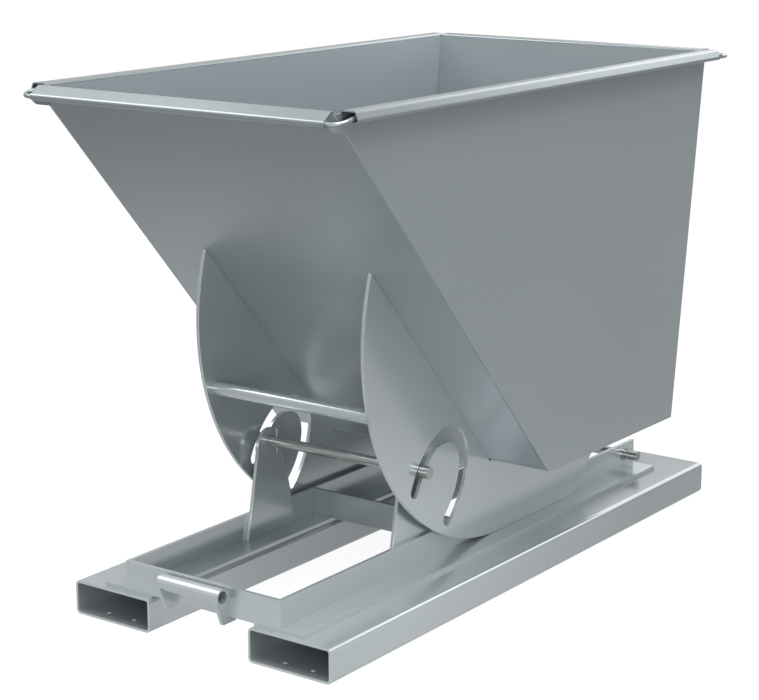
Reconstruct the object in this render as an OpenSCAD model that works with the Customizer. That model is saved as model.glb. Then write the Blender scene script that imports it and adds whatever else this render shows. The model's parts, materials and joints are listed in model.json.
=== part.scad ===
// Self-dumping hopper: a galvanised sheet tub on two slotted rocker plates that roll
// forward on the flanges of a forklift base. Millimetres, +Z up, +Y towards the high rear.

/* [Tub] */
// Width over the two side walls
tub_width = 723.4; // [500:0.1:1000]
// Height of the wall tops above the floor
tub_top_z = 1077.6; // [900:0.1:1300]
// Height of the underside of the tub floor
tub_floor_z = 246.5; // [200:0.1:320]
// Top of the front wall, in front of the pocket ends when negative
front_top_y = -25; // [-80:1:20]
// Fold between the front wall and the floor
front_fold_y = 716; // [650:1:800]
// Fold between the floor and the rear wall
rear_fold_y = 1259; // [1150:1:1300]
// Top of the rear wall
rear_top_y = 1365; // [1280:1:1420]
// Thickness of the tub sheet
wall_t = 4; // [2:0.5:6]
// Outer bend radius of the fold between front wall and floor
fold_r = 34; // [10:1:60]
// Height of the rounded noses of the side walls under the front rim
nose_h = 38.8; // [34:0.1:60]
// Radius of those noses
nose_r = 24; // [18:1:30]

/* [Rims] */
// How far the crown of the rolled side and rear rims stands out from the wall
rim_out = 31.3; // [26:0.1:40]
// How much further out their lower edge stands
rim_flare = 4; // [0:0.5:8]
// Crown of the rim above the wall top
rim_rise = 6; // [5:0.1:12]
// Outer lip of the rim below the wall top
rim_drop = 16; // [14:0.5:30]
// Radius of its rounded corners
rim_r = 6; // [4:0.5:8]
// Sheet of the rims
rim_t = 2.7; // [1.5:0.1:3.5]
// Front end of the side rims
rim_start_y = -4; // [-10:0.5:10]
// Side rims past the rear wall top
rim_past_rear = 7; // [2:0.5:12]
// Middle of the curl of the front rim, out from the wall top
front_rim_out = 18; // [14:0.5:30]
// Height of its top edge above the wall top
front_rise = 5; // [4:0.5:8]
// Drop from that top edge to the middle of the curl
front_rim_drop = 20.6; // [16:0.1:30]
// Bent rods that close the four corners
rod_d = 9; // [6:0.5:10]
// Side part of a front rod, in from the outer edge of the side rim
rod_in = 12; // [11:0.5:14]
// Bend radius of the front rods
rod_bend = 22; // [12:1:26]
// Bend radius of the rear rods
rear_rod_bend = 12; // [8:1:16]
// Slope of the side part of a front rod, in degrees
rod_rise = 11; // [6:0.5:13]

/* [Rockers] */
// Inner faces of the two rocker plates from the middle
rocker_x = 206; // [201:0.5:230]
// Thickness of the rocker plates
rocker_t = 8; // [6:0.5:12]
// Radius of the rolling edge
roll_r = 490; // [460:1:520]
// Where the rolling edge first touches the flanges
roll_y = 750; // [730:1:780]
// Rear end of the flat foot
foot_rear_y = 1072; // [1000:1:1100]
// Width of the curved slot
slot_w = 28; // [27:0.5:34]
// Plate between the front end of the slot and the rolling edge
slot_web_front = 25; // [14:0.5:30]
// Plate between the rear end of the slot and the rolling edge
slot_web_rear = 18.6; // [14:0.5:30]
// Diameter of the tube that ties the rocker tips
tie_d = 30; // [20:0.5:34]
// Wall of that tube
tie_t = 3; // [2:0.5:5]
// Middle of the tie tube, in from the rolling edge
tie_in = 31; // [24:0.5:40]
// Height of its middle
tie_z = 429.5; // [420:0.5:450]

/* [Fork base] */
// Outer width of a fork pocket
pocket_w = 200; // [180:1:220]
// Outer height of a fork pocket
pocket_h = 72; // [66:1:90]
// Length of the fork pockets
pocket_len = 1495; // [1450:1:1600]
// Wall of the fork pockets
pocket_t = 5; // [3:0.5:8]
// Distance between the middles of the two pockets
pocket_spacing = 454; // [440:1:500]
// Flange plates that the rockers roll on
flange_t = 8; // [6:0.5:12]
// Front end of the flanges
flange_y0 = 13; // [5:1:30]
// Rear end of the flanges
flange_y1 = 1384; // [1360:1:1400]
// Outer edge of a flange from the middle
flange_out = 255.5; // [245:0.5:270]
// Inner edge of a flange from the middle
flange_in = 131; // [128:0.5:160]
// Height of the upright legs of the rails
leg_h = 56.5; // [48:0.5:64]
// Outer face of the rail legs from the middle
leg_out = 198; // [194:0.5:200]
// Plate of rail legs, crossbars and uprights
plate_t = 8; // [6:0.5:10]
// Crossbars and centre rail reach down to this height above the pocket tops
bar_gap = 4; // [0:0.5:6]
// Middle crossbar, its front face
mid_bar_y = 618; // [600:1:640]
// Radius of the head of an upright
upright_r = 35; // [30:1:40]
// Top of an upright above the axle
upright_top = 28; // [24:1:32]
// Width of an upright just above the legs, on each side of the axle
upright_half = 65; // [45:1:80]
// Foot of an upright on the flange, on each side of the axle
foot_front = 78; // [65:1:100]
foot_rear = 86; // [65:1:100]

/* [Axle and bars] */
// Diameter of the axle
axle_d = 22; // [16:0.5:23]
// Centre of the axle along the base
axle_y = 457; // [450:1:465]
// Height of the axle above the flanges
axle_up = 206.8; // [198:0.1:212]
// Half length of the axle
axle_half = 236; // [226:1:240]
// Diameter of the rollers in the slots
roller_d = 26.5; // [26:0.1:27.5]
// Cross pins that hold the axle
pin_d = 5.5; // [4:0.5:7]
// Cross pins, in from the uprights
pin_in = 19; // [12:1:40]
// Reach of the cross pins below and above the axle
pin_down = 13; // [8:0.5:20]
pin_up = 19; // [14:0.5:20]
// Heads of the cross pins
pin_head_d = 8.5; // [7.5:0.5:12]
pin_head_h = 8; // [4:0.5:10]
// Rear bar across the rails
rear_bar_d = 22; // [18:0.5:24]
// Rear bar along the base
rear_bar_y = 1337; // [1325:1:1350]
// Height of the rear bar above the flanges
rear_bar_up = 31; // [24:0.5:32]

/* [Front bracket] */
// Tube of the front bracket
bracket_tube_d = 33.7; // [30:0.1:42]
// Its bore
bracket_bore_d = 25.7; // [20:0.1:30]
// Middle of the bracket from the middle of the base
bracket_x = -8; // [-12:0.5:12]
// Outer faces of the bracket ears from its middle
bracket_half = 76; // [60:0.5:90]

/* [Latch] */
// Pivot of the latch hook along the base
latch_y = 1300; // [1298:0.5:1302]
// Height of that pivot
latch_z = 330; // [320:1:340]
// Pivot pin
latch_pin_d = 12; // [10:0.5:16]
// Gap between the two hook plates
latch_gap = 16; // [14:0.5:20]
// Plate of the hook
latch_t = 6; // [5:0.5:8]

/* [Hidden] */
$fn = 96;
eps = 0.01;
// Small gap between welded faces, and the gap under the rolling rockers
seat = 0.05;
roll_gap = 0.3;
// Radial clearance of a turning fit
run = 0.08;
flange_z = pocket_h + flange_t;
leg_top = flange_z + leg_h;
leg_in = leg_out - plate_t;
half_w = tub_width / 2;
half_in = half_w - wall_t;
roll_z = flange_z + roll_r;
axle_z = flange_z + axle_up;
rear_bar_z = flange_z + rear_bar_up;
pin_x = leg_in - plate_t - pin_in;
edge_top_z = tub_top_z + front_rise;
// The curl of the front rim closes around the corner rods
curl_r = rod_d / 2 + seat + rim_t;
curl_y = front_top_y - front_rim_out;
curl_z = edge_top_z - front_rim_drop;
y_mid = (curl_y - curl_r + pocket_len) / 2;
rim_edge = rim_out + rim_flare;
disc_r = 30;
// Slope of the front and rear walls, as run over rise
front_run = (front_fold_y - front_top_y) / (tub_top_z - tub_floor_z);
rear_run = (rear_top_y - rear_fold_y) / (tub_top_z - tub_floor_z);
front_slant = atan2(tub_top_z - tub_floor_z, front_fold_y - front_top_y);
// Horizontal thickness of the slanted sheets
front_skin = wall_t / sin(front_slant);
rear_skin = wall_t * sqrt(1 + rear_run * rear_run);
// Bend between front wall and floor: its reach along the floor and its centre
fold_reach = fold_r * tan(front_slant / 2);
fold_at = [front_fold_y + fold_reach, tub_floor_z + fold_r];

function front_y(z) = front_fold_y - (z - tub_floor_z) * front_run;
function rear_y(z) = rear_fold_y + (z - tub_floor_z) * rear_run;

// Centre of the axle as the rocker sees it after rolling forward by a degrees
function slot_x(a) = roll_y - axle_y - roll_r * a * PI / 180;
function slot_pt(a) = [
    roll_y - slot_x(a) * cos(a) - (roll_r - axle_up) * sin(a),
    roll_z + slot_x(a) * sin(a) - (roll_r - axle_up) * cos(a)
];
function slot_dir(a) = let (d = slot_pt(a + 0.1) - slot_pt(a - 0.1)) d / norm(d);
function slot_side(a, s) = slot_pt(a) + s * [-slot_dir(a)[1], slot_dir(a)[0]];
// How far from the line through the roll centre a slot end lies that leaves this web
function slot_reach(web) = sqrt(
    pow(roll_r - web - slot_w / 2, 2) - pow(roll_r - axle_up, 2)
);
slot_a0 = (roll_y - axle_y - slot_reach(slot_web_front)) / roll_r * 180 / PI;
slot_a1 = (roll_y - axle_y + slot_reach(slot_web_rear)) / roll_r * 180 / PI;
tie_y = roll_y - sqrt(pow(roll_r - tie_in, 2) - pow(roll_z - tie_z, 2));

// Points of a round stretch, from one angle to another
function arc(at, r, from, to) = [
    for (i = [0 : 12]) let (a = from + (to - from) * i / 12) at + r * [cos(a), sin(a)]
];

// Everything is drawn from the front ends of the pockets, and moved so its middle is at 0
module place() {
    translate([0, -y_mid, 0]) children();
}

// A flat shape drawn in the Y-Z plane, made t thick from x towards +X
module plate_x(x, t) {
    translate([x, 0, 0])
        rotate([90, 0, 90])
            linear_extrude(t) children();
}

// The same shape on the left and on the right
module both_x() {
    children();
    mirror([1, 0, 0]) children();
}

module bar_x(d, x0, x1, y, z) {
    translate([x0, y, z])
        rotate([0, 90, 0]) cylinder(d = d, h = x1 - x0);
}

module block(x0, x1, y0, y1, z0, z1) {
    translate([x0, y0, z0]) cube([x1 - x0, y1 - y0, z1 - z0]);
}

module round_box(w, h, r) {
    union() {
        translate([r, 0]) square([w - 2 * r, h]);
        translate([0, r]) square([w, h - 2 * r]);
        for (p = [[r, r], [w - r, r], [r, h - r], [w - r, h - r]])
            translate(p) circle(r);
    }
}

// Fork pockets and rails
module pocket() {
    x0 = pocket_spacing / 2 - pocket_w / 2;
    difference() {
        translate([x0, pocket_len, 0])
            rotate([90, 0, 0])
                linear_extrude(pocket_len)
                    difference() {
                        round_box(pocket_w, pocket_h, 10);
                        translate([pocket_t, pocket_t])
                            round_box(pocket_w - 2 * pocket_t, pocket_h - 2 * pocket_t, 5);
                    }
        for (p = vent_holes)
            translate([pocket_spacing / 2 + p[0], p[1], -1])
                cylinder(d = 10, h = pocket_t + 2);
    }
}
// Drain holes in a pocket floor, from the pocket middle and its front end
vent_holes = [[-32, 28], [36, 28]];

module pocket_left() {
    color("silver") place() mirror([1, 0, 0]) pocket();
}

module pocket_right() {
    color("silver") place() pocket();
}

module rail_plate() {
    block(flange_in, flange_out, flange_y0, flange_y1, pocket_h, flange_z);
}

module rail_plate_left() {
    color("silver") place() mirror([1, 0, 0]) rail_plate();
}

module rail_plate_right() {
    color("silver") place() rail_plate();
}

module rail_leg() {
    difference() {
        block(leg_in, leg_out, flange_y0 + plate_t, flange_y1, flange_z, leg_top);
        bar_x(rear_bar_d + 2 * seat, leg_in - 1, leg_out + 1, rear_bar_y, rear_bar_z);
    }
}

module rail_leg_left() {
    color("silver") place() mirror([1, 0, 0]) rail_leg();
}

module rail_leg_right() {
    color("silver") place() rail_leg();
}

// Crossbars stand on the flanges and reach down between them
module crossbar(y, half) {
    difference() {
        block(-half, half, y, y + plate_t, pocket_h + bar_gap, leg_top);
        both_x() block(flange_in - seat, half + 1, y - 1, y + plate_t + 1, 0, flange_z);
    }
}

module front_crossbar() {
    color("silver") place() crossbar(flange_y0, leg_out);
}

module mid_crossbar() {
    color("silver") place() crossbar(mid_bar_y, leg_in);
}

// Flat bar on edge that carries the middle of the rear bar
module centre_rail() {
    color("silver") place()
    difference() {
        block(-plate_t / 2, plate_t / 2, mid_bar_y + plate_t, rear_bar_y + 30,
            pocket_h + bar_gap, leg_top);
        bar_x(rear_bar_d + 2 * seat, -plate_t, plate_t, rear_bar_y, rear_bar_z);
    }
}

// Uprights that carry the axle, on the inner faces of the rail legs
module upright() {
    head_z = axle_z + upright_top - upright_r;
    plate_x(leg_in - plate_t, plate_t)
    difference() {
        polygon(concat(
            [
                [axle_y - upright_half, leg_top + 3.5],
                [axle_y - foot_front, flange_z],
                [axle_y + foot_rear, flange_z],
                [axle_y + upright_half, leg_top + 42]
            ],
            arc([axle_y, head_z], upright_r, -15, 190)
        ));
        translate([axle_y, axle_z]) circle(d = axle_d + 2 * run);
    }
}

module upright_left() {
    color("silver") place() mirror([1, 0, 0]) upright();
}

module upright_right() {
    color("silver") place() upright();
}

module axle() {
    color("gray") place()
    difference() {
        bar_x(axle_d, -axle_half, axle_half, axle_y, axle_z);
        both_x()
            translate([pin_x, axle_y, axle_z - axle_d])
                cylinder(d = pin_d + 2 * seat, h = 2 * axle_d);
    }
}

module axle_pins() {
    color("gray") place()
    both_x()
        union() {
            translate([pin_x, axle_y, axle_z - axle_d / 2 - pin_down])
                cylinder(d = pin_d, h = axle_d + pin_down + pin_up);
            translate([pin_x, axle_y, axle_z + axle_d / 2 + pin_up - pin_head_h])
                cylinder(d = pin_head_d, h = pin_head_h);
        }
}

// Sleeves that turn on the axle ends and run in the slots of the rockers
module roller() {
    difference() {
        bar_x(roller_d, leg_in + 1, axle_half, axle_y, axle_z);
        bar_x(axle_d + 2 * run, leg_in, axle_half + 1, axle_y, axle_z);
    }
}

module roller_left() {
    color("gray") place() mirror([1, 0, 0]) roller();
}

module roller_right() {
    color("gray") place() roller();
}

module rear_bar() {
    color("gray") place() bar_x(rear_bar_d, -axle_half, axle_half, rear_bar_y, rear_bar_z);
}

// Weld collars of the rear bar against the rail legs
module rear_bar_rings() {
    color("gray") place()
    both_x()
        difference() {
            bar_x(rear_bar_d + 8, leg_out + seat, leg_out + 5, rear_bar_y, rear_bar_z);
            bar_x(rear_bar_d + 2 * seat, leg_out, leg_out + 6, rear_bar_y, rear_bar_z);
        }
}

// Front bracket: a tube along the crossbar face, held by two ears
bracket_y = flange_y0 - bracket_tube_d / 2 - seat;
bracket_z = leg_top - bracket_tube_d / 2;
module bracket_tube() {
    color("silver") place()
    difference() {
        bar_x(bracket_tube_d, bracket_x - bracket_half - 4, bracket_x + bracket_half,
            bracket_y, bracket_z);
        bar_x(bracket_bore_d, bracket_x - bracket_half - 5, bracket_x + bracket_half + 1,
            bracket_y, bracket_z);
    }
}

module bracket_ear(x) {
    plate_x(x, plate_t)
    difference() {
        polygon([
            [bracket_y - bracket_tube_d / 2 - 2, bracket_z - 7],
            [-2.4, 62.3],
            [35.5, 62],
            [35.5, pocket_h + bar_gap - seat],
            [flange_y0 - seat, pocket_h + bar_gap - seat],
            [flange_y0 - seat, bracket_z - 7]
        ]);
        translate([bracket_y, bracket_z]) circle(d = bracket_tube_d + 2 * seat);
    }
}

module bracket_ears() {
    color("silver") place() {
        bracket_ear(bracket_x + bracket_half - plate_t);
        bracket_ear(bracket_x - bracket_half);
    }
}

// Tub sheets: front, floor and rear are one folded strip between the side walls
module front_wall() {
    color("lightgray") place()
    plate_x(-half_in + seat, 2 * (half_in - seat))
        polygon(concat(
            [[front_y(tub_top_z), tub_top_z]],
            arc(fold_at, fold_r, -90 - front_slant, -90),
            arc(fold_at, fold_r - wall_t, -90, -90 - front_slant),
            [[front_y(tub_top_z) + front_skin, tub_top_z]]
        ));
}

module floor_plate() {
    color("lightgray") place()
    block(-half_in + seat, half_in - seat, fold_at[0] + seat, rear_fold_y - seat,
        tub_floor_z, tub_floor_z + wall_t);
}

module rear_wall() {
    color("lightgray") place()
    plate_x(-half_in + seat, 2 * (half_in - seat))
        polygon([
            [rear_y(tub_floor_z), tub_floor_z],
            [rear_y(tub_top_z), tub_top_z],
            [rear_y(tub_top_z) - rear_skin, tub_top_z],
            [rear_y(tub_floor_z + wall_t) - rear_skin, tub_floor_z + wall_t],
            [rear_y(tub_floor_z), tub_floor_z + wall_t]
        ]);
}

// Side walls, with a rounded nose at the front that carries the end of a corner rod
nose_at = [curl_y + 25.4, tub_top_z - nose_h + 28.8];
module side_wall() {
    difference() {
        plate_x(half_in, wall_t)
            polygon(concat(
                [[front_y(tub_top_z), tub_top_z], [front_y(curl_z), curl_z], [curl_y, curl_z]],
                arc(nose_at, nose_r, 205, 261),
                [[front_y(tub_top_z - nose_h), tub_top_z - nose_h]],
                arc(fold_at, fold_r, -90 - front_slant, -90),
                [[rear_fold_y, tub_floor_z], [rear_y(tub_top_z), tub_top_z]]
            ));
        bar_x(2 * (disc_r + run), half_in - 1, half_w + 1, roll_y, roll_z);
        bar_x(rod_d + 2 * seat, half_in - 1, half_w + 1, curl_y, curl_z);
    }
}

module side_wall_left() {
    color("lightgray") place() mirror([1, 0, 0]) side_wall();
}

module side_wall_right() {
    color("lightgray") place() side_wall();
}

// Discs of the side walls about the centre line that the rockers roll around
module roll_centre_discs() {
    color("lightgray") place() both_x() bar_x(2 * disc_r, half_in, half_w, roll_y, roll_z);
}

// Rolled rim, drawn from the outer face of a wall outwards and from the wall top upwards
module rim_outline(r) {
    inner = [rim_r - wall_t, rim_rise - rim_r];
    crown = [rim_out - rim_r, rim_rise - rim_r];
    lip = [rim_edge - rim_r, rim_r - rim_drop];
    face = atan2(lip[0] - crown[0], crown[1] - lip[1]);
    polygon(concat(
        [[inner[0] - r, lip[1] - r]],
        arc(inner, r, 180, 90),
        arc(crown, r, 90, face),
        arc(lip, r, face, -90)
    ));
}

module rim_shape() {
    difference() {
        rim_outline(rim_r);
        rim_outline(rim_r - rim_t);
        translate([-2 * wall_t, -2 * rim_drop])
            square([2 * wall_t + seat, 2 * rim_drop + seat]);
    }
}

module rim_side() {
    translate([half_w, rear_top_y + rim_past_rear, tub_top_z])
        rotate([90, 0, 0])
            linear_extrude(rear_top_y + rim_past_rear - rim_start_y) rim_shape();
}

module rim_left() {
    color("silver") place() mirror([1, 0, 0]) rim_side();
}

module rim_right() {
    color("silver") place() rim_side();
}

module rim_rear() {
    color("silver") place()
    translate([0, rear_top_y, 0])
        plate_x(-half_in + rim_end, 2 * (half_in - rim_end))
            translate([0, tub_top_z]) rim_shape();
}

// Folded front rim: a sloping strip that ends in a curl around the corner rods
module rim_front() {
    top = [front_top_y - 1, edge_top_z];
    curl = [curl_y, curl_z];
    a = atan2(curl[1] - top[1], curl[0] - top[0]) - asin(curl_r / norm(curl - top));
    fold = top + sqrt(pow(norm(curl - top), 2) - curl_r * curl_r) * [cos(a), sin(a)];
    color("silver") place()
    plate_x(-half_in + rim_end, 2 * (half_in - rim_end))
    difference() {
        union() {
            polygon([
                top,
                fold,
                fold + (curl - fold) * rim_t / curl_r,
                [front_y(tub_top_z) - seat, tub_top_z + seat],
                [front_y(tub_top_z) + front_skin, tub_top_z + seat],
                [front_y(tub_top_z) + front_skin - 1, edge_top_z]
            ]);
            translate(curl) circle(curl_r);
        }
        translate(curl) circle(rod_d / 2 + seat);
    }
}

// One bent rod: two straight ends and a quarter bend, with the middle of the bend at 0
module corner_rod(side, front, bend) {
    union() {
        translate([0, bend, 0])
            rotate([0, 90, 180]) cylinder(d = rod_d, h = front);
        rotate_extrude(angle = 90)
            translate([bend, 0]) circle(d = rod_d);
        translate([bend, 0, 0])
            rotate([90, 0, 0]) cylinder(d = rod_d, h = side);
    }
}

// Front and rear rims stop this far inside the side walls
rim_end = 3;
// How far the rods reach into the front curl and the side rims
rod_hold = 12;
module corner_rods() {
    front_x = half_w + rim_edge - rod_in - rod_bend;
    rear_x = half_w + rim_edge + 1 - rear_rod_bend;
    rear_y0 = rear_top_y + rim_edge + 1 - rear_rod_bend;
    color("silver") place()
    both_x() {
        translate([front_x, curl_y, curl_z])
            rotate([rod_rise, 0, 0])
                translate([0, rod_bend, 0])
                    mirror([0, 1, 0])
                        corner_rod(rim_start_y + rod_hold - curl_y - rod_bend,
                            front_x - half_in + rim_end + rod_hold, rod_bend);
        translate([rear_x, rear_y0, tub_top_z - rim_drop / 2])
            corner_rod(rear_y0 - rear_top_y - rim_past_rear - seat,
                rear_x - half_in + rim_end - seat, rear_rod_bend);
    }
}

// Rocker plate: round rolling edge, flat foot and the slot that the axle runs in
slot_steps = 52;
function slot_step(i) = slot_a0 + (slot_a1 - slot_a0) * i / slot_steps;
module rocker_shape() {
    tip_z = roll_z + roll_r;
    difference() {
        union() {
            intersection() {
                translate([roll_y, roll_z]) circle(roll_r - roll_gap, $fn = 360);
                polygon([
                    [front_y(tip_z) - seat, tip_z],
                    [front_y(tub_floor_z) - seat, tub_floor_z - seat],
                    [roll_y, tub_floor_z - seat],
                    [roll_y, 0],
                    [roll_y - 2 * roll_r, 0],
                    [roll_y - 2 * roll_r, tip_z]
                ]);
            }
            polygon([
                [roll_y - eps, flange_z + roll_gap],
                [foot_rear_y, flange_z + roll_gap],
                [foot_rear_y + tub_floor_z - flange_z - roll_gap, tub_floor_z - seat],
                [roll_y - eps, tub_floor_z - seat]
            ]);
        }
        polygon(concat(
            [for (i = [0 : slot_steps]) slot_side(slot_step(i), slot_w / 2)],
            [for (i = [slot_steps : -1 : 0]) slot_side(slot_step(i), -slot_w / 2)]
        ));
        for (a = [slot_a0, slot_a1])
            translate(slot_pt(a)) circle(d = slot_w);
    }
}

module rocker_left() {
    color("silver") place() plate_x(-rocker_x - rocker_t, rocker_t) rocker_shape();
}

module rocker_right() {
    color("silver") place() plate_x(rocker_x, rocker_t) rocker_shape();
}

module cross_tube() {
    color("silver") place()
    difference() {
        bar_x(tie_d, -rocker_x + seat, rocker_x - seat, tie_y, tie_z);
        bar_x(tie_d - 2 * tie_t, -rocker_x, rocker_x, tie_y, tie_z);
    }
}

// Latch: ears on the rear wall, a pin, a twin-plate hook and its hand grip
latch_in = latch_gap / 2;
ear_in = latch_in + latch_t + 1;
module latch_ears() {
    color("gray") place()
    both_x()
        plate_x(ear_in, latch_t)
        difference() {
            union() {
                polygon([
                    [rear_y(latch_z - 40) + seat, latch_z - 40],
                    [latch_y, latch_z - 16],
                    [latch_y, latch_z + 16],
                    [rear_y(latch_z + 40) + seat, latch_z + 40]
                ]);
                translate([latch_y, latch_z]) circle(16);
            }
            translate([latch_y, latch_z]) circle(d = latch_pin_d + 2 * seat);
        }
}

module latch_pin() {
    color("gray") place() {
        bar_x(latch_pin_d, -ear_in - latch_t - 5, ear_in + latch_t + 5, latch_y, latch_z);
    }
}

grip_d = 14;
grip_y = latch_y + 62;
grip_z = latch_z + 130;
jaw_d = rear_bar_d + 5;
jaw_z = rear_bar_z - 3;
module latch_hook() {
    color("gray") place()
    both_x()
        plate_x(latch_in, latch_t)
        difference() {
            union() {
                translate([latch_y, latch_z]) circle(18);
                polygon([
                    [latch_y - 16, latch_z],
                    [latch_y - 22, jaw_z + 40],
                    [latch_y - 22, jaw_z - 22],
                    [latch_y - 12, jaw_z - 30],
                    [latch_y + 20, jaw_z - 26],
                    [latch_y + 22, jaw_z + 20],
                    [latch_y + 16, jaw_z + 34],
                    [latch_y + 16, latch_z]
                ]);
                polygon([
                    [latch_y - 15, latch_z + 8],
                    [latch_y + 15, latch_z - 8],
                    [grip_y + 11, grip_z - 6],
                    [grip_y - 11, grip_z + 6]
                ]);
                translate([grip_y, grip_z]) circle(12.5);
            }
            translate([latch_y, latch_z]) circle(d = latch_pin_d + 2 * run);
            translate([latch_y, jaw_z]) circle(d = jaw_d);
            translate([latch_y, jaw_z - jaw_d / 2]) square([60, jaw_d]);
            translate([grip_y, grip_z]) circle(d = grip_d + 2 * seat);
        }
}

module latch_grip() {
    color("black") place() bar_x(grip_d, -60, 60, grip_y, grip_z);
}

pocket_left();
pocket_right();
rail_plate_left();
rail_plate_right();
rail_leg_left();
rail_leg_right();
front_crossbar();
mid_crossbar();
centre_rail();
upright_left();
upright_right();
axle();
axle_pins();
roller_left();
roller_right();
rear_bar();
rear_bar_rings();
bracket_tube();
bracket_ears();
front_wall();
floor_plate();
rear_wall();
side_wall_left();
side_wall_right();
rim_front();
rim_left();
rim_right();
rim_rear();
corner_rods();
rocker_left();
rocker_right();
cross_tube();
latch_ears();
latch_pin();
latch_hook();
latch_grip();
roll_centre_discs();
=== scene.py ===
import json
import math
from collections import Counter
import bmesh
import bpy
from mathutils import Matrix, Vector
from mathutils.geometry import delaunay_2d_cdt


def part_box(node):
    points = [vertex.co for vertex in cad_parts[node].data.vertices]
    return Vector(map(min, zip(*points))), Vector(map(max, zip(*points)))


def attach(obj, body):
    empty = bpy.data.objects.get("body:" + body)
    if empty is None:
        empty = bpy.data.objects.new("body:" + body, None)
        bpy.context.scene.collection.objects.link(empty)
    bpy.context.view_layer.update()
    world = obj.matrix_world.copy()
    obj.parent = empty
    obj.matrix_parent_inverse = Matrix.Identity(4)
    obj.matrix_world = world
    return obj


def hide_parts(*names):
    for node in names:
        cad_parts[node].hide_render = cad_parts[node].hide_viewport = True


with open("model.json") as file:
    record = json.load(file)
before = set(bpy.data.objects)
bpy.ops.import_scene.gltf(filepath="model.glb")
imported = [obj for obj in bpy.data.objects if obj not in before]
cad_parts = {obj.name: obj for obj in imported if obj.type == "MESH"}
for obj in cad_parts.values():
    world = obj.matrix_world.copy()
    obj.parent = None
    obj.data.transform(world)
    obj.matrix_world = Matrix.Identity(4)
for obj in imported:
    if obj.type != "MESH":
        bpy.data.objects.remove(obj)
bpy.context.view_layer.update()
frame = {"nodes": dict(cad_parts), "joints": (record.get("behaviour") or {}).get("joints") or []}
nodes = frame["nodes"]
joints = {joint["name"]: joint for joint in frame["joints"]}

# Camera of the photograph: metres and degrees in the frame of the part, lens and sensor in millimetres
CAMERA_PLACE = (2.54183, -3.63245, 1.53171)
CAMERA_TURN = 35.848
CAMERA_DOWN = 13.591
CAMERA_LENS = 98.977
CAMERA_SENSOR = 36.0
CAMERA_REACH = 100.0

# Nodes by finish. The middle crossbar gets the darker material of the tub as painted shade.
TUB = [
    "floor_plate", "rear_wall", "side_wall_left", "side_wall_right", "roll_centre_discs",
    # Painted shade: the middle crossbar takes the darker tub material
    "mid_crossbar",
]
RIMS = ["rim_front", "rim_left", "rim_right", "rim_rear", "corner_rods"]
RAILS = [
    "rail_leg_left", "rail_leg_right", "rail_plate_left", "rail_plate_right", "front_crossbar",
]
PLATES = ["centre_rail", "bracket_ears"]
POCKETS = ["pocket_left", "pocket_right"]
TUBES = ["bracket_tube", "cross_tube"]
BARS = [
    "axle", "axle_pins", "rear_bar", "rear_bar_rings", "roller_left", "roller_right",
    "latch_ears", "latch_pin", "latch_hook",
]

# Darkest and lightest tone of each metal finish, then the painted light on the tub's inner faces and the
# tone of the grip's sleeve
SHEET_TONES = ((0.275, 0.310, 0.326), (0.305, 0.340, 0.356))
PLATE_TONES = ((0.440, 0.485, 0.500), (0.480, 0.525, 0.540))
RIM_TONES = ((0.245, 0.276, 0.288), (0.265, 0.296, 0.308))
STEEL_TONES = ((0.370, 0.375, 0.370), (0.410, 0.415, 0.410))
TUB_INSIDE_PAINTED_LIGHT = (0.400, 0.448, 0.476)
SLEEVE_TONE = (0.02, 0.02, 0.022)

# Grain of the finishes: waves to a metre, and depth in metres
ZINC_GRAIN_SCALE = 420.0
ZINC_GRAIN_DEPTH = 0.0004
ZINC_DRIFT_DETAIL = 4.0
SLEEVE_GRAIN_SCALE = 300.0
SLEEVE_GRAIN = 0.1
SLEEVE_ROUGHNESS = 0.55

# Rounding of sharp edges: metres, steps, and the turn in degrees from which an edge counts as sharp
SHEET_EDGE = 0.0012
RAIL_EDGE = 0.0020
THIN_EDGE = 0.0008
GRIP_EDGE = 0.0015
EDGE_STEPS = 2
EDGE_TURN = 32.0

# Sockets of a Mix node, which share their names
MIX_FACTOR = 0
MIX_NUMBERS = (2, 3)
MIX_COLOURS = (6, 7)
MIX_NUMBER_OUT = 0
MIX_COLOUR_OUT = 2

# Rockers and uprights in metres, as pairs of y and z. The rockers roll about the tilt joint.
ROLL_CENTRE = tuple(joints["tilt"]["pos_m"][1:])
AXLE = tuple(joints["roller_r_spin"]["pos_m"][1:])
ROLL_RADIUS = 0.490
ROLL_GAP = 0.0003
SEAT = 0.00005
FLANGE_Z = 0.080
LEG_TOP_Z = 0.1365
FRONT_FOLD = (-0.006375, 0.2465)
FRONT_TOP = (-0.747375, 1.0776)
FRONT_SLOPE = (FRONT_FOLD[0] - FRONT_TOP[0]) / (FRONT_TOP[1] - FRONT_FOLD[1])
FOOT_REAR_Y = 0.349625
ROLL_EDGE_STEPS = 90
TIP_STEPS_PER_DEGREE = 20

# Highest, foremost and lowest point of a circle in degrees
HIGHEST = 90
FOREMOST = 180
LOWEST = 270

# The slot: half its width, how much wider its arch and rear leg are, how far that leg leans, and the
# degrees of roll over which each comes in; then the webs left to the rolling edge at both ends
SLOT_HALF = 0.014
SLOT_SPREAD = 0.008
SLOT_SPREAD_COMES = (10.0, 27.0)
SLOT_LEAN = 0.006
SLOT_LEAN_COMES = (48.0, 58.0)
SLOT_WEBS = (0.025, 0.0186)
SLOT_STEPS = 60
SLOT_END_STEPS = 10
SMALL_ROLL = 0.1

# An upright in metres: its round head, the top of that head over the axle, its reach in front of and
# behind the axle, and the hole for the axle, with the turns of its arcs in degrees
HEAD_RADIUS = 0.041
CROWN_ABOVE_AXLE = 0.028
HEAD_SWEEP = (-15.0, 190.0)
HEAD_STEPS = 40
UPRIGHT_HALF = 0.065
UPRIGHT_FOOT = (0.078, 0.086)
UPRIGHT_REAR_RISE = 0.042
AXLE_HOLE_RADIUS = 0.01108
AXLE_HOLE_SWEEP = (0.0, 350.0)
AXLE_HOLE_STEPS = 35

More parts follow.
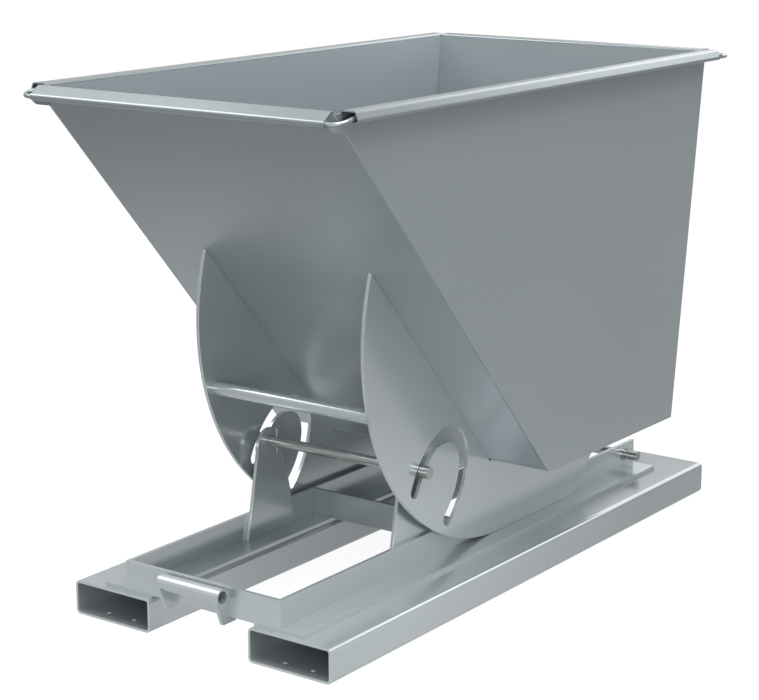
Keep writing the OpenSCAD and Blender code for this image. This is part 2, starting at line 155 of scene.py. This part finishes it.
# Meshes of the plates: what is asked of the triangulation, its tolerance in metres, and the turn in
# degrees at which shading breaks
ENCLOSED_TRIANGLES = 1
MERGE_DISTANCE = 0.0000001
SHADING_BREAK = 30.0

# Floor: size, drop under the part and the distances between which its glow, a stand-in for bounce light,
# falls off, in metres, then its strength to the camera and its matte tone
FLOOR_SIZE = 60.0
FLOOR_DROP = 0.0005
FLOOR_FALL = (0.5, 1.7)
FLOOR_SEEN = 0.93
FLOOR_MATTE = 0.10


def new_material(name):
    """An empty node material, and its output node."""
    mat = bpy.data.materials.new(name)
    mat.use_nodes = True
    mat.node_tree.nodes.clear()
    return mat, mat.node_tree.nodes.new("ShaderNodeOutputMaterial")


def galvanised(name, tones, metallic, roughness, drift_scale, grain):
    """Zinc coated steel: a slow drift of tone and gloss over the sheet and a very fine grain."""
    mat, out = new_material(name)
    tree = mat.node_tree
    shader = tree.nodes.new("ShaderNodeBsdfPrincipled")
    coords = tree.nodes.new("ShaderNodeTexCoord")
    drift = tree.nodes.new("ShaderNodeTexNoise")
    drift.inputs["Scale"].default_value = drift_scale
    drift.inputs["Detail"].default_value = ZINC_DRIFT_DETAIL
    tone = tree.nodes.new("ShaderNodeMix")
    tone.data_type = "RGBA"
    for socket, colour in zip(MIX_COLOURS, tones):
        tone.inputs[socket].default_value = (*colour, 1.0)
    gloss = tree.nodes.new("ShaderNodeMapRange")
    gloss.inputs["To Min"].default_value = roughness[0]
    gloss.inputs["To Max"].default_value = roughness[1]
    fine = tree.nodes.new("ShaderNodeTexNoise")
    fine.inputs["Scale"].default_value = ZINC_GRAIN_SCALE
    bump = tree.nodes.new("ShaderNodeBump")
    bump.inputs["Strength"].default_value = grain
    bump.inputs["Distance"].default_value = ZINC_GRAIN_DEPTH
    link = tree.links.new
    link(coords.outputs["Object"], drift.inputs["Vector"])
    link(coords.outputs["Object"], fine.inputs["Vector"])
    link(drift.outputs["Fac"], tone.inputs[MIX_FACTOR])
    link(drift.outputs["Fac"], gloss.inputs["Value"])
    link(fine.outputs["Fac"], bump.inputs["Height"])
    link(tone.outputs[MIX_COLOUR_OUT], shader.inputs["Base Color"])
    link(gloss.outputs["Result"], shader.inputs["Roughness"])
    link(bump.outputs["Normal"], shader.inputs["Normal"])
    shader.inputs["Metallic"].default_value = metallic
    link(shader.outputs["BSDF"], out.inputs["Surface"])
    return mat


def tone_socket(mat):
    """The base colour of a finish, and the socket that feeds it."""
    shader = next(n for n in mat.node_tree.nodes if n.type == "BSDF_PRINCIPLED")
    base = shader.inputs["Base Color"]
    return base, base.links[0].from_socket


def paint_light_inside(mat, tone, reach):
    """Paints light on the faces that look towards the middle plane, further out than reach: they get a
    lighter tone of their own.
    """
    tree = mat.node_tree
    base, old = tone_socket(mat)
    geometry = tree.nodes.new("ShaderNodeNewGeometry")
    place = tree.nodes.new("ShaderNodeSeparateXYZ")
    facing = tree.nodes.new("ShaderNodeSeparateXYZ")
    product = tree.nodes.new("ShaderNodeMath")
    product.operation = "MULTIPLY"
    inner = tree.nodes.new("ShaderNodeMath")
    inner.operation = "LESS_THAN"
    inner.inputs[1].default_value = -reach
    mix = tree.nodes.new("ShaderNodeMix")
    mix.data_type = "RGBA"
    mix.inputs[MIX_COLOURS[1]].default_value = (*tone, 1.0)
    link = tree.links.new
    link(geometry.outputs["Position"], place.inputs[0])
    link(geometry.outputs["Normal"], facing.inputs[0])
    link(place.outputs["X"], product.inputs[0])
    link(facing.outputs["X"], product.inputs[1])
    link(product.outputs[0], inner.inputs[0])
    link(inner.outputs[0], mix.inputs[MIX_FACTOR])
    link(old, mix.inputs[MIX_COLOURS[0]])
    link(mix.outputs[MIX_COLOUR_OUT], base)


def paint_light_gradient(mat, axis, start, end):
    """Paints light and shade: scales the tone along an axis, between two pairs of place and factor."""
    tree = mat.node_tree
    base, old = tone_socket(mat)
    coords = tree.nodes.new("ShaderNodeTexCoord")
    split = tree.nodes.new("ShaderNodeSeparateXYZ")
    factor = tree.nodes.new("ShaderNodeMapRange")
    factor.inputs["From Min"].default_value = start[0]
    factor.inputs["From Max"].default_value = end[0]
    factor.inputs["To Min"].default_value = start[1]
    factor.inputs["To Max"].default_value = end[1]
    scale = tree.nodes.new("ShaderNodeVectorMath")
    scale.operation = "SCALE"
    link = tree.links.new
    link(coords.outputs["Object"], split.inputs[0])
    link(split.outputs[axis], factor.inputs["Value"])
    link(old, scale.inputs[0])
    link(factor.outputs["Result"], scale.inputs["Scale"])
    link(scale.outputs["Vector"], base)


def black_sleeve(name):
    """Soft black plastic with a fine grain."""
    mat, out = new_material(name)
    tree = mat.node_tree
    shader = tree.nodes.new("ShaderNodeBsdfPrincipled")
    coords = tree.nodes.new("ShaderNodeTexCoord")
    noise = tree.nodes.new("ShaderNodeTexNoise")
    noise.inputs["Scale"].default_value = SLEEVE_GRAIN_SCALE
    bump = tree.nodes.new("ShaderNodeBump")
    bump.inputs["Strength"].default_value = SLEEVE_GRAIN
    shader.inputs["Base Color"].default_value = (*SLEEVE_TONE, 1.0)
    shader.inputs["Roughness"].default_value = SLEEVE_ROUGHNESS
    link = tree.links.new
    link(coords.outputs["Object"], noise.inputs["Vector"])
    link(noise.outputs["Fac"], bump.inputs["Height"])
    link(bump.outputs["Normal"], shader.inputs["Normal"])
    link(shader.outputs["BSDF"], out.inputs["Surface"])
    return mat


def coat(obj, mat, edge):
    """Gives a piece its material, and rounds its sharp edges by that many metres."""
    obj.data.materials.clear()
    obj.data.materials.append(mat)
    rounding = obj.modifiers.new("edges", "BEVEL")
    rounding.width = edge
    rounding.segments = EDGE_STEPS
    rounding.limit_method = "ANGLE"
    rounding.angle_limit = math.radians(EDGE_TURN)
    rounding.harden_normals = True


def coat_nodes(names, mat, edge):
    for name in names:
        coat(nodes[name], mat, edge)


def arc(centre, radius, start, end, steps):
    """Points on a circle, from one angle in degrees to another."""
    angles = [math.radians(start + (end - start) * i / steps) for i in range(steps + 1)]
    return [(centre[0] + radius * math.cos(a), centre[1] + radius * math.sin(a)) for a in angles]


def ramp(value, start, end):
    """Rises smoothly from 0 at start to 1 at end."""
    t = min(max((value - start) / (end - start), 0.0), 1.0)
    return t * t * (3.0 - 2.0 * t)


def slot_point(roll):
    """Where the axle stands in the plate, once the plate has rolled that many degrees."""
    turn = math.radians(roll)
    back = ROLL_CENTRE[0] - AXLE[0] - ROLL_RADIUS * turn
    down = ROLL_CENTRE[1] - AXLE[1]
    return (
        ROLL_CENTRE[0] - back * math.cos(turn) - down * math.sin(turn),
        ROLL_CENTRE[1] + back * math.sin(turn) - down * math.cos(turn),
    )


def slot_side(roll, out, along=0.0):
    """A point beside the path of the axle: out from the curve, and along it."""
    before, after = slot_point(roll - SMALL_ROLL), slot_point(roll + SMALL_ROLL)
    at = slot_point(roll)
    span = math.dist(before, after)
    dy, dz = (after[0] - before[0]) / span, (after[1] - before[1]) / span
    return (at[0] - out * dz + along * dy, at[1] + out * dy + along * dz)


def slot_end(roll, outer, inner, sign):
    """The round end of the slot, without the two points where it meets the sides."""
    middle, radius = (outer - inner) / 2.0, (outer + inner) / 2.0
    turns = [math.pi * i / SLOT_END_STEPS for i in range(1, SLOT_END_STEPS)]
    return [
        slot_side(roll, middle + sign * radius * math.cos(t), sign * radius * math.sin(t))
        for t in turns
    ]


def slot_outline():
    """The slot as photographed: it follows the axle, with a wider arch and a leaning rear leg."""
    down = ROLL_CENTRE[1] - AXLE[1]
    back = ROLL_CENTRE[0] - AXLE[0]
    reach = [math.sqrt((ROLL_RADIUS - web - SLOT_HALF) ** 2 - down ** 2) for web in SLOT_WEBS]
    first = math.degrees((back - reach[0]) / ROLL_RADIUS)
    last = math.degrees((back + reach[1]) / ROLL_RADIUS)
    rolls = [first + (last - first) * i / SLOT_STEPS for i in range(SLOT_STEPS + 1)]
    outer = [SLOT_HALF - SLOT_LEAN * ramp(roll, *SLOT_LEAN_COMES) for roll in rolls]
    inner = [SLOT_HALF + SLOT_SPREAD * ramp(roll, *SLOT_SPREAD_COMES) for roll in rolls]
    outer_side = [slot_side(roll, out) for roll, out in zip(rolls, outer)]
    inner_side = [slot_side(roll, -out) for roll, out in zip(rolls, inner)]
    return (
        outer_side
        + slot_end(last, outer[-1], inner[-1], 1.0)
        + inner_side[::-1]
        + slot_end(first, outer[0], inner[0], -1.0)
    )


def front_wall_y(z):
    """Where the front wall stands at that height, less the seat of the plates on it."""
    return FRONT_FOLD[0] - SEAT - (z - FRONT_FOLD[1]) * FRONT_SLOPE


def rocker_outline():
    """The rolling edge from the tip to the foot, the foot, and the edges under floor and front wall."""
    radius = ROLL_RADIUS - ROLL_GAP
    steps = range(HIGHEST * TIP_STEPS_PER_DEGREE, FOREMOST * TIP_STEPS_PER_DEGREE)
    for angle in (step / TIP_STEPS_PER_DEGREE for step in steps):
        y, z = arc(ROLL_CENTRE, radius, angle, angle, 1)[0]
        if y < front_wall_y(z):
            break
    floor_z = FRONT_FOLD[1] - SEAT
    foot_z = FLANGE_Z + ROLL_GAP
    return arc(ROLL_CENTRE, radius, angle, LOWEST, ROLL_EDGE_STEPS) + [
        (FOOT_REAR_Y, foot_z),
        (FOOT_REAR_Y + FRONT_FOLD[1] - foot_z, floor_z),
        (FRONT_FOLD[0] - SEAT, floor_z),
    ]


def upright_outline():
    """A plate that stands on the flange, narrows upwards and has a round head about the axle."""
    head = (AXLE[0], AXLE[1] + CROWN_ABOVE_AXLE - HEAD_RADIUS)
    return [
        (AXLE[0] - UPRIGHT_HALF, LEG_TOP_Z),
        (AXLE[0] - UPRIGHT_FOOT[0], FLANGE_Z),
        (AXLE[0] + UPRIGHT_FOOT[1], FLANGE_Z),
        (AXLE[0] + UPRIGHT_HALF, LEG_TOP_Z + UPRIGHT_REAR_RISE),
    ] + arc(head, HEAD_RADIUS, *HEAD_SWEEP, HEAD_STEPS)


def lies_inside(spot, outline):
    """Whether a spot lies within a closed outline, by counting the edges on one side of it."""
    y, z = spot
    crossings = 0
    for (y0, z0), (y1, z1) in zip(outline, outline[1:] + outline[:1]):
        if (z0 > z) != (z1 > z) and y < y0 + (z - z0) * (y1 - y0) / (z1 - z0):
            crossings += 1
    return crossings % 2 == 1


def triangulate(outline, hole):
    """Corners and triangles of an outline with a hole."""
    corners, first = outline + hole, len(outline)
    edges = [(i, (i + 1) % first) for i in range(first)]
    edges += [(i, i + 1 if i + 1 < len(corners) else first) for i in range(first, len(corners))]
    points = [Vector(corner) for corner in corners]
    result = delaunay_2d_cdt(points, edges, [], ENCLOSED_TRIANGLES, MERGE_DISTANCE)
    spots, triangles = result[0], result[2]
    centres = [sum((spots[i] for i in t), Vector((0.0, 0.0))) / 3.0 for t in triangles]
    return spots, [t for t, centre in zip(triangles, centres) if not lies_inside(centre, hole)]


def cut_plate(name, node, body, outline, hole):
    """A flat plate with a hole, as thick and where the CAD node of the same plate is."""
    spots, triangles = triangulate(outline, hole)
    uses = Counter(frozenset((t[i - 1], t[i])) for t in triangles for i in range(3))
    work = bmesh.new()
    near, far = [
        [work.verts.new((corner[0], spot[0], spot[1])) for spot in spots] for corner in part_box(node)
    ]
    for triangle in triangles:
        work.faces.new([near[i] for i in triangle])
        work.faces.new([far[i] for i in reversed(triangle)])
    for a, b in [tuple(edge) for edge, count in uses.items() if count == 1]:
        work.faces.new((near[a], near[b], far[b], far[a]))
    bmesh.ops.recalc_face_normals(work, faces=work.faces)
    mesh = bpy.data.meshes.new(name)
    work.to_mesh(mesh)
    work.free()
    mesh.shade_smooth()
    mesh.set_sharp_from_angle(angle=math.radians(SHADING_BREAK))
    piece = bpy.data.objects.new(name, mesh)
    bpy.context.scene.collection.objects.link(piece)
    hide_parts(node)
    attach(piece, body)
    return piece


def add_floor(near, far):
    """White to the camera; to everything else it glows as stand-in bounce light, falling from near, under
    the object, to far around it.
    """
    bpy.ops.mesh.primitive_plane_add(size=FLOOR_SIZE, location=(0.0, 0.0, -FLOOR_DROP))
    floor = bpy.context.object
    floor.name = "floor"
    mat, out = new_material("floor")
    tree = mat.node_tree
    add = tree.nodes.new("ShaderNodeAddShader")
    glow = tree.nodes.new("ShaderNodeEmission")
    glow.inputs["Color"].default_value = (1.0, 1.0, 1.0, 1.0)
    matte = tree.nodes.new("ShaderNodeBsdfDiffuse")
    matte.inputs["Color"].default_value = (FLOOR_MATTE, FLOOR_MATTE, FLOOR_MATTE, 1.0)
    path = tree.nodes.new("ShaderNodeLightPath")
    level = tree.nodes.new("ShaderNodeMix")
    level.data_type = "FLOAT"
    level.inputs[MIX_NUMBERS[1]].default_value = FLOOR_SEEN
    coords = tree.nodes.new("ShaderNodeTexCoord")
    span = tree.nodes.new("ShaderNodeVectorMath")
    span.operation = "LENGTH"
    fall = tree.nodes.new("ShaderNodeMapRange")
    fall.interpolation_type = "SMOOTHSTEP"
    fall.inputs["From Min"].default_value = FLOOR_FALL[0]
    fall.inputs["From Max"].default_value = FLOOR_FALL[1]
    fall.inputs["To Min"].default_value = near
    fall.inputs["To Max"].default_value = far
    link = tree.links.new
    link(coords.outputs["Object"], span.inputs[0])
    link(span.outputs["Value"], fall.inputs["Value"])
    link(fall.outputs["Result"], level.inputs[MIX_NUMBERS[0]])
    link(path.outputs["Is Camera Ray"], level.inputs[MIX_FACTOR])
    link(level.outputs[MIX_NUMBER_OUT], glow.inputs["Strength"])
    link(glow.outputs[0], add.inputs[0])
    link(matte.outputs[0], add.inputs[1])
    link(add.outputs[0], out.inputs["Surface"])
    floor.data.materials.append(mat)


def add_world(low, high):
    """White to the camera; as light it grows from low at the horizon to high overhead."""
    world = bpy.data.worlds.new("studio")
    bpy.context.scene.world = world
    world.use_nodes = True
    tree = world.node_tree
    tree.nodes.clear()
    out = tree.nodes.new("ShaderNodeOutputWorld")
    back = tree.nodes.new("ShaderNodeBackground")
    back.inputs["Color"].default_value = (1.0, 1.0, 1.0, 1.0)
    path = tree.nodes.new("ShaderNodeLightPath")
    coords = tree.nodes.new("ShaderNodeTexCoord")
    split = tree.nodes.new("ShaderNodeSeparateXYZ")
    rise = tree.nodes.new("ShaderNodeMapRange")
    rise.inputs["To Min"].default_value = low
    rise.inputs["To Max"].default_value = high
    level = tree.nodes.new("ShaderNodeMix")
    level.data_type = "FLOAT"
    level.inputs[MIX_NUMBERS[1]].default_value = 1.0
    link = tree.links.new
    link(coords.outputs["Generated"], split.inputs["Vector"])
    link(split.outputs["Z"], rise.inputs["Value"])
    link(rise.outputs["Result"], level.inputs[MIX_NUMBERS[0]])
    link(path.outputs["Is Camera Ray"], level.inputs[MIX_FACTOR])
    link(level.outputs[MIX_NUMBER_OUT], back.inputs["Strength"])
    link(back.outputs[0], out.inputs["Surface"])


def add_lamp(name, place, aim_z, size, watts):
    """A rectangular lamp that shines at the middle of the part, at the height of aim_z."""
    data = bpy.data.lights.new(name, "AREA")
    data.shape = "RECTANGLE"
    data.size, data.size_y = size
    data.energy = watts
    lamp = bpy.data.objects.new(name, data)
    bpy.context.scene.collection.objects.link(lamp)
    lamp.location = place
    aim = Vector((0.0, 0.0, aim_z)) - Vector(place)
    lamp.rotation_euler = aim.to_track_quat("-Z", "Y").to_euler()


def add_camera():
    data = bpy.data.cameras.new("photo")
    data.sensor_width = CAMERA_SENSOR
    data.sensor_fit = "HORIZONTAL"
    data.lens = CAMERA_LENS
    data.clip_end = CAMERA_REACH
    cam = bpy.data.objects.new("photo", data)
    cam.location = CAMERA_PLACE
    cam.rotation_euler = (math.radians(90.0 - CAMERA_DOWN), 0.0, math.radians(CAMERA_TURN))
    bpy.context.scene.collection.objects.link(cam)
    bpy.context.scene.camera = cam


sheet = galvanised(
    "sheet", SHEET_TONES, metallic=0.60, roughness=(0.29, 0.35), drift_scale=2.2, grain=0.02)
# Painted light: the inner faces of the tub side walls get a lighter tone
paint_light_inside(sheet, TUB_INSIDE_PAINTED_LIGHT, reach=0.25)
front = galvanised(
    "front", SHEET_TONES, metallic=0.60, roughness=(0.29, 0.35), drift_scale=2.2, grain=0.02)
# Painted light and shade: the front wall lighter towards its bottom and darker towards its top
paint_light_gradient(front, "Z", start=(0.40, 1.40), end=(1.00, 0.68))
plate = galvanised(
    "plate", PLATE_TONES, metallic=0.65, roughness=(0.18, 0.25), drift_scale=4.0, grain=0.02)
rim = galvanised(
    "rim", RIM_TONES, metallic=0.70, roughness=(0.20, 0.26), drift_scale=5.0, grain=0.01)
tube = galvanised(
    "tube", PLATE_TONES, metallic=0.65, roughness=(0.15, 0.21), drift_scale=3.0, grain=0.02)
pocket = galvanised(
    "pocket", PLATE_TONES, metallic=0.65, roughness=(0.15, 0.21), drift_scale=3.0, grain=0.02)
# Painted shade: the pockets darker towards the rear, under the tub
paint_light_gradient(pocket, "Y", start=(-0.50, 1.03), end=(0.45, 0.67))
bar = galvanised(
    "bar", STEEL_TONES, metallic=0.90, roughness=(0.16, 0.22), drift_scale=6.0, grain=0.01)

coat_nodes(TUB, sheet, SHEET_EDGE)
coat_nodes(["front_wall"], front, SHEET_EDGE)
coat_nodes(RIMS, rim, THIN_EDGE)
coat_nodes(RAILS, plate, RAIL_EDGE)
coat_nodes(PLATES, plate, SHEET_EDGE)
coat_nodes(POCKETS, pocket, THIN_EDGE)
coat_nodes(TUBES, tube, THIN_EDGE)
coat_nodes(BARS, bar, THIN_EDGE)
coat_nodes(["latch_grip"], black_sleeve("black"), GRIP_EDGE)

axle_hole = arc(AXLE, AXLE_HOLE_RADIUS, *AXLE_HOLE_SWEEP, AXLE_HOLE_STEPS)
for side in ("left", "right"):
    rocker = cut_plate(
        "slotted_rocker_" + side, "rocker_" + side, "container", rocker_outline(), slot_outline())
    upright = cut_plate(
        "axle_upright_" + side, "upright_" + side, "base", upright_outline(), axle_hole)
    coat(rocker, plate, SHEET_EDGE)
    coat(upright, plate, SHEET_EDGE)

add_floor(near=0.58, far=0.34)
add_world(low=0.50, high=1.00)
add_lamp("overhead", place=(1.2, -0.3, 4.5), aim_z=0.4, size=(4.0, 4.0), watts=320.0)
add_lamp("rear", place=(0.3, 5.0, 3.2), aim_z=0.4, size=(6.0, 2.4), watts=80.0)
add_lamp("crown", place=(-2.9, -1.5, 4.0), aim_z=0.4, size=(2.0, 2.0), watts=50.0)
add_lamp("front", place=(0.5, -5.0, 0.9), aim_z=0.3, size=(4.0, 1.4), watts=70.0)
add_lamp("side", place=(3.6, -4.2, 1.0), aim_z=0.3, size=(3.0, 1.4), watts=60.0)
add_camera()
bpy.context.scene.view_settings.view_transform = "Standard"
